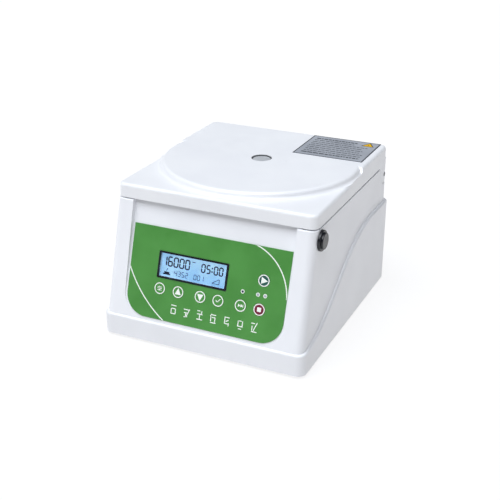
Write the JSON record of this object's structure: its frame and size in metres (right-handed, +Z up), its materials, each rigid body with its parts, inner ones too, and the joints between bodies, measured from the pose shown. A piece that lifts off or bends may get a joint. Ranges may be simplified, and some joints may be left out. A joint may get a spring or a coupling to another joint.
{
  "type": "laboratory centrifuge",
  "caption": "Bench-top high-speed laboratory centrifuge: white moulded housing, hinged lid with window, sloping green key panel with display, angle rotor inside.",
  "frame": {"origin": "middle of the footprint, on the surface it stands on", "axes": "+X to the right as seen from the control panel, +Y to the back, +Z up"},
  "size_m": [0.2734, 0.312, 0.1989],
  "materials": {
    "housing_abs": "moulded white ABS, light satin gloss",
    "lid_abs": "moulded white ABS, light satin gloss",
    "liner_abs": "moulded pale grey ABS",
    "base_steel": "powder-coated sheet steel",
    "rear_steel": "powder-coated sheet steel",
    "plate_steel": "zinc-plated sheet steel",
    "screw_steel": "zinc-plated steel",
    "pin_steel": "dark ground steel",
    "shaft_steel": "ground steel",
    "bearing_steel": "polished bearing steel",
    "stator_steel": "laminated electrical steel",
    "magnet_steel": "sintered magnet",
    "foot_rubber": "black rubber",
    "gasket_rubber": "dark grey silicone rubber",
    "damper_rubber": "black rubber",
    "inlet_plastic": "black moulded plastic",
    "rocker_plastic": "black glossy rocker",
    "switch_plastic": "black moulded plastic",
    "knob_plastic": "black glossy moulded plastic",
    "pin_brass": "plated brass",
    "standoff_brass": "turned brass",
    "membrane_film": "green printed polyester film",
    "bezel_plastic": "black glossy frame",
    "display_acrylic": "clear acrylic window",
    "lcd_glass": "pale blue liquid crystal display",
    "lcd_frame": "black module frame",
    "led_epoxy": "tinted epoxy",
    "circuit_laminate": "green circuit laminate",
    "bowl_stainless": "spun stainless steel",
    "can_aluminium": "cast aluminium",
    "sink_aluminium": "extruded aluminium",
    "rotor_aluminium": "turned anodised aluminium",
    "nut_aluminium": "black anodised aluminium",
    "window_acrylic": "clear acrylic lens",
    "label_film": "silver grey printed film",
    "washer_nylon": "natural nylon",
    "capacitor_sleeve": "dark blue shrink sleeve",
    "lead_jacket": "black PVC jacket",
    "ribbon_pvc": "grey flat cable",
    "key_plain": "green key with a pale ring",
    "key_start": "dark green key",
    "key_stop": "dark red key"
  },
  "bodies": {
    "housing": {"housing_shell": "housing_abs", "base_plate": "base_steel", "rubber_feet": "foot_rubber", "housing_screws": "screw_steel", "rear_panel": "rear_steel", "power_inlet": "inlet_plastic", "inlet_pins": "pin_brass", "fuse_drawer": "inlet_plastic", "switch_body": "inlet_plastic", "membrane_overlay": "membrane_film", "display_bezel": "bezel_plastic", "display_window": "display_acrylic", "lcd_glass": "lcd_glass", "lcd_module": "lcd_frame", "tact_switches": "switch_plastic", "status_leds": "led_epoxy", "control_board": "circuit_laminate", "chamber_bowl": "bowl_stainless", "chamber_gasket": "gasket_rubber", "shaft_boot": "gasket_rubber", "rubber_dampers": "damper_rubber", "motor_plate": "plate_steel", "motor_can": "can_aluminium", "motor_end_cap": "can_aluminium", "motor_bearings": "bearing_steel", "stator_core": "stator_steel", "hinge_pins": "pin_steel", "hinge_washers": "washer_nylon", "hinge_brackets": "plate_steel", "lock_bushing": "knob_plastic", "lock_nut": "knob_plastic", "board_standoffs": "standoff_brass", "power_board": "circuit_laminate", "driver_board": "circuit_laminate", "power_transformer": "stator_steel", "capacitors": "capacitor_sleeve", "heat_sink": "sink_aluminium", "motor_lead": "lead_jacket", "mains_lead": "lead_jacket", "panel_ribbon": "ribbon_pvc"},
    "lid": {"lid_shell": "lid_abs", "lid_liner": "liner_abs", "lid_screws": "screw_steel", "lid_window": "window_acrylic", "lid_label": "label_film", "striker": "plate_steel"},
    "rotor": {"rotor": "rotor_aluminium", "rotor_nut": "nut_aluminium", "motor_shaft": "shaft_steel", "motor_magnet": "magnet_steel"},
    "lid_lock": {"lock_knob": "knob_plastic", "lock_pin": "pin_steel"},
    "power_rocker": {"switch_rocker": "rocker_plastic"},
    "key_settings": {"key_settings": "key_plain"},
    "key_up": {"key_up": "key_plain"},
    "key_down": {"key_down": "key_plain"},
    "key_confirm": {"key_confirm": "key_plain"},
    "key_pulse": {"key_pulse": "key_plain"},
    "key_stop": {"key_stop": "key_stop"},
    "key_start": {"key_start": "key_start"}
  },
  "joints": [
    {"name": "lid_hinge", "type": "hinge", "parent": "housing", "child": "lid", "pos_m": [0, 0.1425, 0.159], "axis": [-1, 0, 0], "range_deg": [0, 88]},
    {"name": "rotor_spin", "type": "hinge", "parent": "housing", "child": "rotor", "pos_m": [0, 0.0265, 0.13], "axis": [0, 0, 1], "continuous": true},
    {"name": "lid_lock_push", "type": "slide", "parent": "housing", "child": "lid_lock", "axis": [-1, 0, 0], "range_m": [0, 0.0024]},
    {"name": "power_switch", "type": "hinge", "parent": "housing", "child": "power_rocker", "pos_m": [0.022, 0.146, 0.058], "axis": [-1, 0, 0], "range_deg": [0, 16]},
    {"name": "press_settings", "type": "slide", "parent": "housing", "child": "key_settings", "axis": [0, 0.9519, -0.3065], "range_m": [0, 0.0005], "stiffness_N_per_m": 800},
    {"name": "press_up", "type": "slide", "parent": "housing", "child": "key_up", "axis": [0, 0.9519, -0.3065], "range_m": [0, 0.0005], "stiffness_N_per_m": 800},
    {"name": "press_down", "type": "slide", "parent": "housing", "child": "key_down", "axis": [0, 0.9519, -0.3065], "range_m": [0, 0.0005], "stiffness_N_per_m": 800},
    {"name": "press_confirm", "type": "slide", "parent": "housing", "child": "key_confirm", "axis": [0, 0.9519, -0.3065], "range_m": [0, 0.0005], "stiffness_N_per_m": 800},
    {"name": "press_pulse", "type": "slide", "parent": "housing", "child": "key_pulse", "axis": [0, 0.9519, -0.3065], "range_m": [0, 0.0005], "stiffness_N_per_m": 800},
    {"name": "press_stop", "type": "slide", "parent": "housing", "child": "key_stop", "axis": [0, 0.9519, -0.3065], "range_m": [0, 0.0005], "stiffness_N_per_m": 800},
    {"name": "press_start", "type": "slide", "parent": "housing", "child": "key_start", "axis": [0, 0.9519, -0.3065], "range_m": [0, 0.0005], "stiffness_N_per_m": 800}
  ]
}
